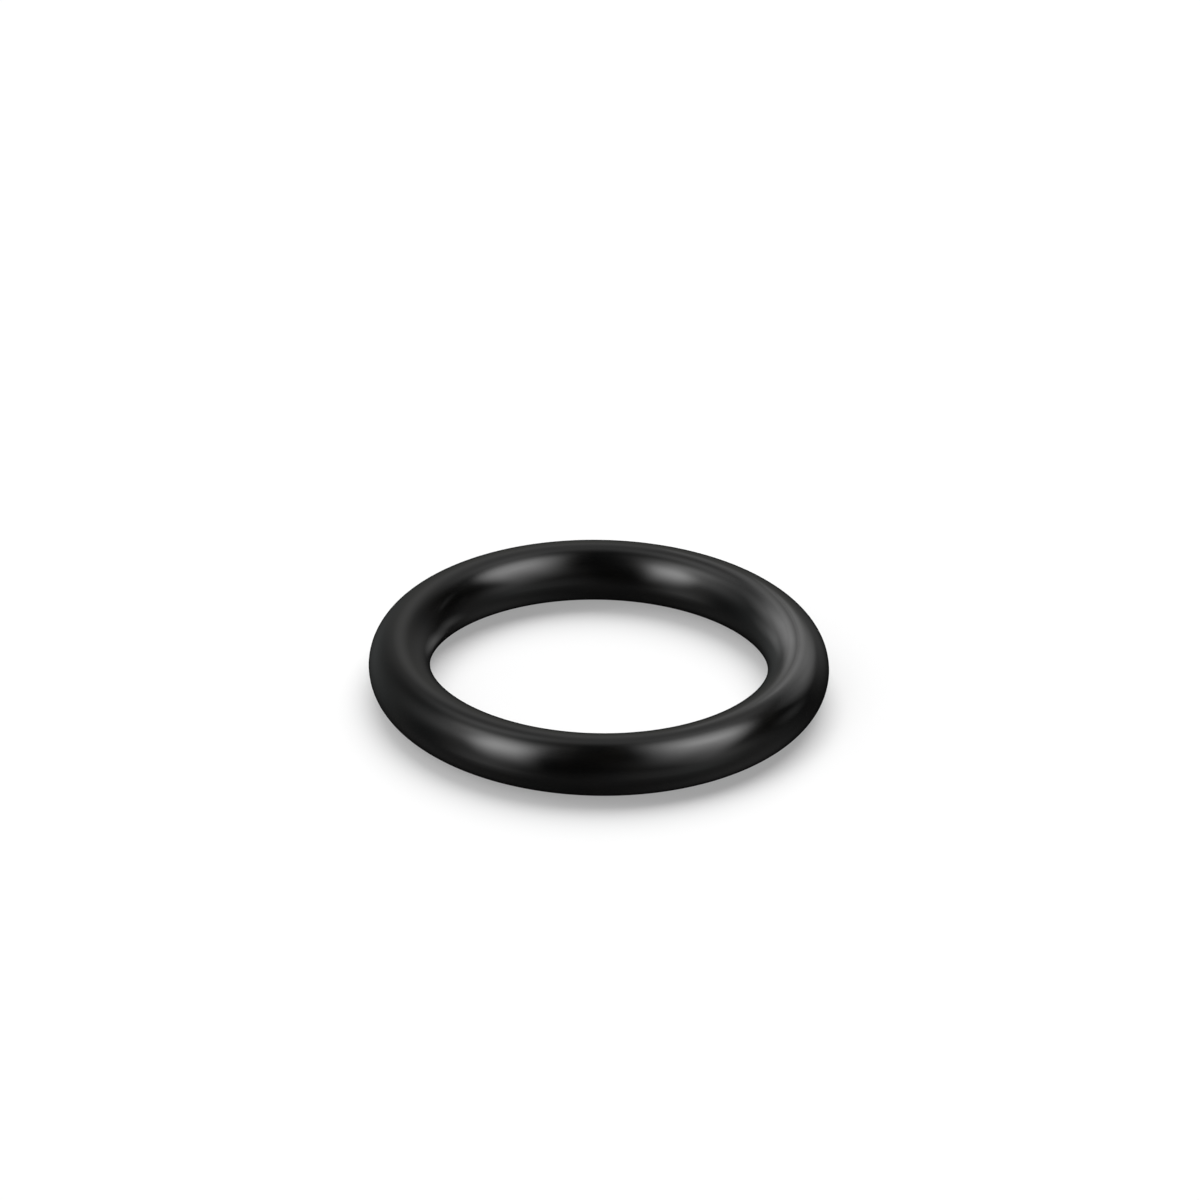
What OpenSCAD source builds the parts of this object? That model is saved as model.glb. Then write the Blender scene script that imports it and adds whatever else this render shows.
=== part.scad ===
// Rubber O-ring: one moulded ring of round section, lying flat.
// Frame: origin at the ring's centre, halfway up its section. +Z is the ring's axis.
// Lengths are in millimetres.

/* [Ring] */
// Inner diameter: the free size of the hole, before the ring is stretched on a shaft
inner_d = 22; // [6:0.1:60]
// Section diameter: the thickness of the round cord that the ring is moulded as
section_d = 4; // [1.5:0.05:8]

/* [Hidden] */
// Sides of the round section, and of the whole ring, in the preview mesh
section_sides = 64;
ring_sides = 192;
// The circle that the centre of the section runs round
centreline_d = inner_d + section_d;

// The round section, in the plane that is turned about Z
module section() {
    translate([centreline_d / 2, 0])
        circle(d = section_d, $fn = section_sides);
}

module o_ring() {
    color([0.025, 0.025, 0.026])
        rotate_extrude($fn = ring_sides)
            section();
}

o_ring();
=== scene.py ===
import math

import bmesh
import bpy
from mathutils import Matrix, Vector


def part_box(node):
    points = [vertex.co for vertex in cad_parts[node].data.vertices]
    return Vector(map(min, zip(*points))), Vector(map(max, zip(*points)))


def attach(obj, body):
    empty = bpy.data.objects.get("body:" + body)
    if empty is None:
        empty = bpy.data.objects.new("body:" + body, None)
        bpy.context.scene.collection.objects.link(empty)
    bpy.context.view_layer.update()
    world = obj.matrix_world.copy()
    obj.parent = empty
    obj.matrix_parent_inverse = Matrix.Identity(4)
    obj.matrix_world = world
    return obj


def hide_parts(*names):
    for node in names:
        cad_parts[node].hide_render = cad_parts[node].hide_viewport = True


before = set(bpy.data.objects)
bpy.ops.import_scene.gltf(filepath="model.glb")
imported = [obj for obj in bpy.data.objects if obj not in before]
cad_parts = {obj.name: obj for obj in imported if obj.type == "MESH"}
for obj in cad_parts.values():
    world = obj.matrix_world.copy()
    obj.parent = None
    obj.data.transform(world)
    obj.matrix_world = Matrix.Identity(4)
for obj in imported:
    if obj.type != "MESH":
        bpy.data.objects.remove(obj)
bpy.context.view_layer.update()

# The rubber ring as it lies on a pale floor. Lengths are in metres, in the frame of the solids:
# the origin is the ring's centre, and +Z is its axis. A direction is an azimuth, 0 away from the
# camera and + to the right, and an elevation, both in degrees.
MM = 0.001

# The ring, measured on its solid
LOWEST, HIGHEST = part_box("o_ring")
SECTION_RADIUS = (HIGHEST.z - LOWEST.z) / 2
CENTRELINE_RADIUS = (HIGHEST.x - LOWEST.x) / 2 - SECTION_RADIUS
FLOOR_HEIGHT = LOWEST.z

# How finely the ring is turned
SECTION_SIDES = 96
RING_STEPS = 288

# The faint raised line where the two halves of the mould met, inside and outside at half height,
# and the shares of its half width at which its loops are cut
PARTING_WIDTH = 0.3 * MM
PARTING_HEIGHT = 0.003 * MM
PARTING_CUTS = (-1, -0.67, -0.33, 0.33, 0.67, 1)
SAME_PLACE = 1e-8

# The rubber: nearly black with slight brown clouds, and a satin skin
DEEP_BLACK = (0.0012, 0.0013, 0.0013)
BROWN_BLACK = (0.0019, 0.0017, 0.0014)
TONE_SIZE = 3.2 * MM
TONE_EDGES = (0.35, 0.65)
SKIN_ROUGHNESS = 0.17
ROUGHNESS_SWING = 0.015
CLOUD_SIZE = 1.6 * MM
CLOUD_EDGES = (0.25, 0.75)
RUBBER_IOR = 1.5
GRAIN_SIZE = 0.11 * MM
GRAIN_HEIGHT = 0.00045 * MM
DIMPLE_SIZE = 0.9 * MM
DIMPLE_HEIGHT = 0.0011 * MM
TOOL_MARKS = 46
TOOL_MARK_HEIGHT = 0.00035 * MM

# The photograph's view: a long lens, with a small roll
FRAME_SIDE = 1200
FOCAL_PIXELS = 7980
RING_CENTRE_X = 598.95
RING_CENTRE_Y = 665.0
VIEW_ELEVATION = 29.2
VIEW_ROLL = 1.0
VIEW_DISTANCE = 40 * CENTRELINE_RADIUS
SENSOR_WIDTH = 36.0

# The floor: part of its white is its own glow, so that the shadow stays grey near the ring
FLOOR_HALF = 3.0
FLOOR_COLOUR = 0.62
FLOOR_GLOW = 0.32

# The tall soft boxes: how far they stand from the ring, how low and high they reach from their
# centre line, and the share of their height over which each end fades
BOX_DISTANCE = 220 * MM
BOX_LOW = -180 * MM
BOX_HIGH = 420 * MM
BOX_END_FADE = 0.07

# How far most gridded lamps stand from what they aim at
NEAR = 30 * MM

# The floor's own light
SUN_STRENGTH = 2.88
SUN_WIDTH = 60

# The tints of the studio's pale patches
NEUTRAL = (1.0, 1.0, 1.0)
COOL = (0.95, 1.0, 1.0)
WARM = (1.0, 0.99, 0.8)


def towards(azimuth, elevation):
    """The unit vector from the ring in this direction."""
    across, up = math.radians(azimuth), math.radians(elevation)
    return Vector((math.sin(across) * math.cos(up), math.cos(across) * math.cos(up), math.sin(up)))


def facing(azimuth, elevation):
    """Axes of a lamp or camera in this direction that faces back at the origin."""
    return towards(azimuth, elevation).to_track_quat("Z", "Y").to_matrix().to_4x4()


def turned_ring():
    """The round section turned once about Z, with a parting line raised inside and outside."""
    mesh = bmesh.new()
    bmesh.ops.create_circle(mesh, segments=SECTION_SIDES, radius=SECTION_RADIUS)
    place = Matrix.Translation((CENTRELINE_RADIUS, 0, 0)) @ Matrix.Rotation(math.pi / 2, 4, "X")
    bmesh.ops.transform(mesh, matrix=place, verts=mesh.verts)
    bmesh.ops.spin(
        mesh,
        geom=mesh.edges[:],
        cent=(0, 0, 0),
        axis=(0, 0, 1),
        angle=2 * math.pi,
        steps=RING_STEPS,
        use_merge=True,
    )
    raise_parting_line(mesh)
    bmesh.ops.recalc_face_normals(mesh, faces=mesh.faces)
    for face in mesh.faces:
        face.smooth = True
    data = bpy.data.meshes.new("moulded_ring")
    mesh.to_mesh(data)
    mesh.free()
    ring = bpy.data.objects.new("moulded_ring", data)
    bpy.context.scene.collection.objects.link(ring)
    return ring


def raise_parting_line(mesh):
    """Cuts fine loops about half height and pushes them off the section as one low rounded line."""
    half = PARTING_WIDTH / 2
    for share in PARTING_CUTS:
        bmesh.ops.bisect_plane(
            mesh,
            geom=mesh.verts[:] + mesh.edges[:] + mesh.faces[:],
            plane_co=(0, 0, share * half),
            plane_no=(0, 0, 1),
            dist=SAME_PLACE,
        )
    for vertex in mesh.verts:
        if abs(vertex.co.z) < half:
            rise = PARTING_HEIGHT * (1 - (vertex.co.z / half) ** 2) ** 2
            outward = Vector((vertex.co.x, vertex.co.y, 0))
            side = 1 if outward.length > CENTRELINE_RADIUS else -1
            vertex.co += outward.normalized() * rise * side


class Nodes:
    """A short way to set nodes in one node tree."""

    def __init__(self, tree):
        self.tree = tree

    def add(self, kind, **settings):
        node = self.tree.nodes.new(kind)
        for name, value in settings.items():
            setattr(node, name, value)
        return node

    def feed(self, socket, value):
        if isinstance(value, bpy.types.NodeSocket):
            self.tree.links.new(value, socket)
        else:
            socket.default_value = value

    def maths(self, operation, *values):
        node = self.add("ShaderNodeMath", operation=operation)
        for socket, value in zip(node.inputs, values):
            self.feed(socket, value)
        return node.outputs[0]

    def vectors(self, operation, *values):
        node = self.add("ShaderNodeVectorMath", operation=operation)
        for socket, value in zip(node.inputs, values):
            self.feed(socket, value)
        return node.outputs[0]

    def ramp(self, value, start, end, low=0.0, high=1.0):
        node = self.add("ShaderNodeMapRange", interpolation_type="SMOOTHSTEP")
        self.feed(node.inputs["Value"], value)
        self.feed(node.inputs["From Min"], start)
        self.feed(node.inputs["From Max"], end)
        self.feed(node.inputs["To Min"], low)
        self.feed(node.inputs["To Max"], high)
        return node.outputs["Result"]

    def noise(self, where, size, detail, dimensions="3D"):
        node = self.add("ShaderNodeTexNoise", noise_dimensions=dimensions)
        self.feed(node.inputs["W" if dimensions == "1D" else "Vector"], where)
        node.inputs["Scale"].default_value = 1 / size
        node.inputs["Detail"].default_value = detail
        return node.outputs["Fac"]

    def bump(self, height, distance, normal=None):
        node = self.add("ShaderNodeBump")
        node.inputs["Distance"].default_value = distance
        self.feed(node.inputs["Height"], height)
        if normal is not None:
            self.feed(node.inputs["Normal"], normal)
        return node.outputs["Normal"]


def section_angle(kit, where):
    """The turn about the ring's section, from -0.5 to 0.5, at each point of its skin."""
    split = kit.add("ShaderNodeSeparateXYZ")
    kit.feed(split.inputs[0], where)
    x, y, z = split.outputs
    squares = kit.maths("ADD", kit.maths("MULTIPLY", x, x), kit.maths("MULTIPLY", y, y))
    outward = kit.maths("SUBTRACT", kit.maths("SQRT", squares), CENTRELINE_RADIUS)
    return kit.maths("DIVIDE", kit.maths("ARCTAN2", z, outward), 2 * math.pi)


def rubber():
    """Black moulded rubber: a cloudy satin skin with fine grain, dimples and marks of the mould."""
    material = bpy.data.materials.new("rubber")
    material.use_nodes = True
    kit = Nodes(material.node_tree)
    skin = material.node_tree.nodes["Principled BSDF"]
    where = kit.add("ShaderNodeTexCoord").outputs["Object"]

    tone = kit.add("ShaderNodeMix", data_type="RGBA")
    kit.feed(tone.inputs["Factor"], kit.ramp(kit.noise(where, TONE_SIZE, 3.0), *TONE_EDGES))
    tone.inputs["A"].default_value = (*DEEP_BLACK, 1)
    tone.inputs["B"].default_value = (*BROWN_BLACK, 1)
    kit.feed(skin.inputs["Base Color"], tone.outputs["Result"])

    clouds = kit.noise(where, CLOUD_SIZE, 4.0)
    smoothest, roughest = SKIN_ROUGHNESS - ROUGHNESS_SWING, SKIN_ROUGHNESS + ROUGHNESS_SWING
    kit.feed(skin.inputs["Roughness"], kit.ramp(clouds, *CLOUD_EDGES, smoothest, roughest))

    dimples = kit.bump(kit.noise(where, DIMPLE_SIZE, 1.0), DIMPLE_HEIGHT)
    marks = kit.noise(section_angle(kit, where), 1 / TOOL_MARKS, 3.0, "1D")
    marked = kit.bump(marks, TOOL_MARK_HEIGHT, dimples)
    grained = kit.bump(kit.noise(where, GRAIN_SIZE, 1.0), GRAIN_HEIGHT, marked)
    kit.feed(skin.inputs["Normal"], grained)
    skin.inputs["IOR"].default_value = RUBBER_IOR
    return material


def seen_directly(kit):
    """1 where the camera, gloss or glass sees the surface, and 0 where it only lights another."""
    path = kit.add("ShaderNodeLightPath")
    seen = kit.maths("MAXIMUM", path.outputs["Is Camera Ray"], path.outputs["Is Glossy Ray"])
    return kit.maths("MAXIMUM", seen, path.outputs["Is Transmission Ray"])


def pale_floor():
    """A wide flat floor under the ring."""
    mesh = bmesh.new()
    bmesh.ops.create_grid(mesh, x_segments=1, y_segments=1, size=FLOOR_HALF)
    bmesh.ops.translate(mesh, verts=mesh.verts, vec=(0, 0, FLOOR_HEIGHT))
    data = bpy.data.meshes.new("floor")
    mesh.to_mesh(data)
    mesh.free()
    floor = bpy.data.objects.new("floor", data)
    bpy.context.scene.collection.objects.link(floor)
    material = bpy.data.materials.new("floor")
    material.use_nodes = True
    kit = Nodes(material.node_tree)
    paper = material.node_tree.nodes["Principled BSDF"]
    paper.inputs["Base Color"].default_value = (FLOOR_COLOUR, FLOOR_COLOUR, FLOOR_COLOUR, 1)
    paper.inputs["Roughness"].default_value = 1.0
    paper.inputs["Specular IOR Level"].default_value = 0.0
    paper.inputs["Emission Color"].default_value = (1, 1, 1, 1)
    glow = kit.maths("MULTIPLY", seen_directly(kit), FLOOR_GLOW)
    kit.feed(paper.inputs["Emission Strength"], glow)
    data.materials.append(material)
    return floor


def place_lamp(name, data, matrix, lit):
    """Sets up a lamp that lights this object alone."""
    lamp = bpy.data.objects.new(name, data)
    lamp.matrix_world = matrix
    bpy.context.scene.collection.objects.link(lamp)
    group = bpy.data.collections.new(name + "_lights")
    group.objects.link(lit)
    lamp.light_linking.receiver_collection = group


def soft_box(name, azimuth, elevation, roll, width, fades, peak, spread, radiance, lit):
    """A tall soft box, rolled in its own plane and brightest at peak, with a fall-off of spread
    above and below it. Each of its two sides fades over a share of its width."""
    tall = BOX_HIGH - BOX_LOW
    data = bpy.data.lights.new(name, "AREA")
    data.shape = "RECTANGLE"
    data.size, data.size_y = width, tall
    data.energy = radiance * math.pi * width * tall
    data.use_nodes = True
    kit = Nodes(data.node_tree)
    split = kit.add("ShaderNodeSeparateXYZ")
    kit.feed(split.inputs[0], kit.add("ShaderNodeNewGeometry").outputs["Parametric"])
    across, along = split.outputs["X"], split.outputs["Y"]
    first, second = fades
    sides = kit.maths("MULTIPLY", kit.ramp(across, 0, first), kit.ramp(across, 1, 1 - second))
    low_end, high_end = kit.ramp(along, 0, BOX_END_FADE), kit.ramp(along, 1, 1 - BOX_END_FADE)
    ends = kit.maths("MULTIPLY", low_end, high_end)
    off_peak = kit.maths("SUBTRACT", along, (peak - BOX_LOW) / tall)
    off_peak = kit.maths("DIVIDE", off_peak, spread / tall)
    square = kit.maths("MULTIPLY", off_peak, off_peak)
    bell = kit.maths("POWER", math.e, kit.maths("MULTIPLY", square, -1))
    glow = kit.maths("MULTIPLY", kit.maths("MULTIPLY", sides, ends), bell)
    kit.feed(data.node_tree.nodes["Emission"].inputs["Strength"], glow)
    rolled = facing(azimuth, elevation) @ Matrix.Rotation(math.radians(roll), 4, "Z")
    slide = Matrix.Translation((0, (BOX_LOW + BOX_HIGH) / 2, BOX_DISTANCE))
    place_lamp(name, data, rolled @ slide, lit)


def gridded_lamp(name, aim, azimuth, elevation, width, height, grid, radiance, lit, distance=NEAR):
    """A lamp behind a honeycomb grid, so that only the part of the ring it aims at sees it."""
    data = bpy.data.lights.new(name, "AREA")
    data.shape = "RECTANGLE"
    data.size, data.size_y = width, height
    half = math.radians(grid)
    data.spread = 2 * half
    ungridded = radiance * math.pi * width * height
    data.energy = ungridded * (math.tan(half) - half) / math.tan(half)
    stand = facing(azimuth, elevation) @ Matrix.Translation((0, 0, distance))
    place_lamp(name, data, Matrix.Translation(aim) @ stand, lit)


def studio_world(patches):
    """A dim studio with soft pale patches, whose walls look white to the camera."""
    world = bpy.data.worlds.new("studio")
    bpy.context.scene.world = world
    world.use_nodes = True
    kit = Nodes(world.node_tree)
    where = kit.add("ShaderNodeTexCoord").outputs["Generated"]
    total = (0.0, 0.0, 0.0)
    for azimuth, elevation, tightness, strength, tint in patches:
        dot = kit.add("ShaderNodeVectorMath", operation="DOT_PRODUCT")
        kit.feed(dot.inputs[0], where)
        dot.inputs[1].default_value = towards(azimuth, elevation)
        nearness = kit.maths("MAXIMUM", dot.outputs["Value"], 0.0)
        patch = kit.maths("POWER", nearness, float(tightness))
        total = kit.vectors("MULTIPLY_ADD", patch, [strength * share for share in tint], total)
    background = world.node_tree.nodes["Background"]
    white = kit.add("ShaderNodeLightPath").outputs["Is Camera Ray"]
    kit.feed(background.inputs["Color"], kit.vectors("MAXIMUM", total, white))


def place_camera():
    """The photograph's camera: it faces the ring's centre and rolls, and then it tilts and pans
    to put that centre in its place in the frame."""
    data = bpy.data.cameras.new("camera")
    data.sensor_width = SENSOR_WIDTH
    data.lens = SENSOR_WIDTH * FOCAL_PIXELS / FRAME_SIDE
    data.clip_start = 0.01
    data.clip_end = 100
    camera = bpy.data.objects.new("camera", data)
    stand = Matrix.Translation(towards(180, VIEW_ELEVATION) * VIEW_DISTANCE)
    roll = Matrix.Rotation(math.radians(VIEW_ROLL), 4, "Z")
    tilt = Matrix.Rotation(math.atan((RING_CENTRE_Y - FRAME_SIDE / 2) / FOCAL_PIXELS), 4, "X")
    pan = Matrix.Rotation(math.atan((RING_CENTRE_X - FRAME_SIDE / 2) / FOCAL_PIXELS), 4, "Y")
    camera.matrix_world = stand @ facing(180, VIEW_ELEVATION) @ roll @ tilt @ pan
    bpy.context.scene.collection.objects.link(camera)
    bpy.context.scene.camera = camera


ring = turned_ring()
ring.data.materials.append(rubber())
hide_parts("o_ring")
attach(ring, "root")

# The gloss of the ring doesn't show the ring itself, which would draw a dark arc along its inside
ring.visible_glossy = False

# The floor takes the ring's shadow. The gloss of the ring doesn't show the floor, and the floor
# doesn't stop the light of the lamps and pale patches that are below it.
floor = pale_floor()
floor.visible_glossy = False
floor.visible_shadow = False

# Two tall soft boxes make the four long highlights
soft_box(
    "left_box", azimuth=-133.0, elevation=19.9, roll=13.8, width=159 * MM, fades=(0.432, 0.388),
    peak=94 * MM, spread=127 * MM, radiance=5.26, lit=ring,
)
soft_box(
    "right_box", azimuth=127.9, elevation=35.4, roll=-28.5, width=218 * MM, fades=(0.447, 0.314),
    peak=131 * MM, spread=150 * MM, radiance=4.94, lit=ring,
)

# A fan of near lamps behind the ring makes the broad soft band on its right side. Each has its
# azimuth and its radiance, and one more stands above the fan and one below it.
RIGHT_SIDE = Vector((CENTRELINE_RADIUS, 0, 0.5 * MM))
FAN = ((48, 0.65), (36, 0.4), (24, 0.84), (-24, 1.86), (-36, 0.52), (-48, 1.01))
for number, (azimuth, radiance) in enumerate(FAN):
    gridded_lamp(
        f"fan_{number}", aim=RIGHT_SIDE, azimuth=azimuth, elevation=28,
        width=25 * MM, height=25 * MM, grid=18, radiance=radiance, lit=ring,
    )
gridded_lamp(
    "high_fan", aim=RIGHT_SIDE, azimuth=-60, elevation=50,
    width=25 * MM, height=22 * MM, grid=18, radiance=0.52, lit=ring,
)
gridded_lamp(
    "low_fan", aim=RIGHT_SIDE, azimuth=-36, elevation=8,
    width=20 * MM, height=14 * MM, grid=15, radiance=0.62, lit=ring,
)

# Three more aim further out, and fill the crest of the right side
gridded_lamp(
    "crest_middle", aim=RIGHT_SIDE + Vector((4 * MM, 0, 0)), azimuth=0, elevation=28,
    width=10 * MM, height=22 * MM, grid=14, radiance=0.62, lit=ring,
)
gridded_lamp(
    "crest_right", aim=RIGHT_SIDE + Vector((5 * MM, 3 * MM, 0)), azimuth=8, elevation=32,
    width=14 * MM, height=18 * MM, grid=16, radiance=0.76, lit=ring,
)
gridded_lamp(
    "crest_left", aim=RIGHT_SIDE + Vector((4 * MM, 0, 0)), azimuth=-12, elevation=30,
    width=14 * MM, height=22 * MM, grid=15, radiance=0.8, lit=ring,
)

# Two soft lamps light the inside at the back right and the outside at the front right
gridded_lamp(
    "right_inside", aim=Vector((0.85, 0.45, 0)) * CENTRELINE_RADIUS, azimuth=-50, elevation=6,
    width=22 * MM, height=18 * MM, grid=18, radiance=0.42, lit=ring, distance=24 * MM,
)
OUTSIDE_AIM = Vector((0.87 * CENTRELINE_RADIUS, -0.5 * CENTRELINE_RADIUS, 0.5 * MM))
gridded_lamp(
    "right_outside", aim=OUTSIDE_AIM, azimuth=72, elevation=12,
    width=24 * MM, height=22 * MM, grid=14, radiance=0.3, lit=ring,
)

# One lamp strengthens the highlight at the front right
gridded_lamp(
    "front_right", aim=Vector((6.5 * MM, -11.3 * MM, 1.5 * MM)), azimuth=97, elevation=56,
    width=30 * MM, height=30 * MM, grid=12, radiance=1.5, lit=ring, distance=60 * MM,
)

# A wide lamp behind the ring brightens the crest at the front
gridded_lamp(
    "front_crest", aim=Vector((0, -CENTRELINE_RADIUS, 1 * MM)), azimuth=0, elevation=32,
    width=40 * MM, height=30 * MM, grid=16, radiance=0.18, lit=ring, distance=40 * MM,
)

# Two low lamps give the inside at the back left the soft light of the floor in the hole
LEFT_INSIDE = Vector((-0.8 * CENTRELINE_RADIUS, 0.5 * CENTRELINE_RADIUS, 0))
for number, (azimuth, radiance) in enumerate(((35, 0.32), (60, 0.29))):
    gridded_lamp(
        f"left_inside_{number}", aim=LEFT_INSIDE, azimuth=azimuth, elevation=-22,
        width=20 * MM, height=16 * MM, grid=16, radiance=radiance, lit=ring,
    )

# The floor has a broad soft light of its own, from behind
sun = bpy.data.lights.new("soft_sun", "SUN")
sun.energy = SUN_STRENGTH
sun.angle = math.radians(SUN_WIDTH)
place_lamp("soft_sun", sun, facing(azimuth=12, elevation=60), lit=floor)

# Each pale patch of the studio has its azimuth, elevation, tightness, strength and tint
PATCHES = (
    (-115, 42, 18, 1.09, NEUTRAL),
    (-90, 62, 40, 2.24, NEUTRAL),
    (-90, 35, 14, 0.42, NEUTRAL),
    (-5, 35, 10, 0.33, NEUTRAL),
    (-60, 5, 6, 0.19, COOL),
    (120, 5, 20, 0.65, NEUTRAL),
    (-120, 5, 20, 0.35, NEUTRAL),
    (-125, -22, 20, 0.62, NEUTRAL),
    (125, -22, 20, 0.25, COOL),
    (150, -15, 14, 0.25, NEUTRAL),
    (150, 25, 20, 0.17, NEUTRAL),
    (90, -10, 14, 0.12, NEUTRAL),
    (-90, -50, 8, 0.10, NEUTRAL),
    (90, -50, 8, 0.17, NEUTRAL),
    (180, -40, 6, 0.10, NEUTRAL),
    (-30, 60, 50, 1.04, NEUTRAL),
    (30, 60, 50, 0.93, NEUTRAL),
    (10, 47, 60, 0.21, NEUTRAL),
    (0, 16, 20, 0.06, WARM),
    (-30, -2, 14, 0.105, COOL),
    (30, 8, 14, 0.19, NEUTRAL),
)
studio_world(PATCHES)

place_camera()
bpy.context.scene.view_settings.view_transform = "Standard"
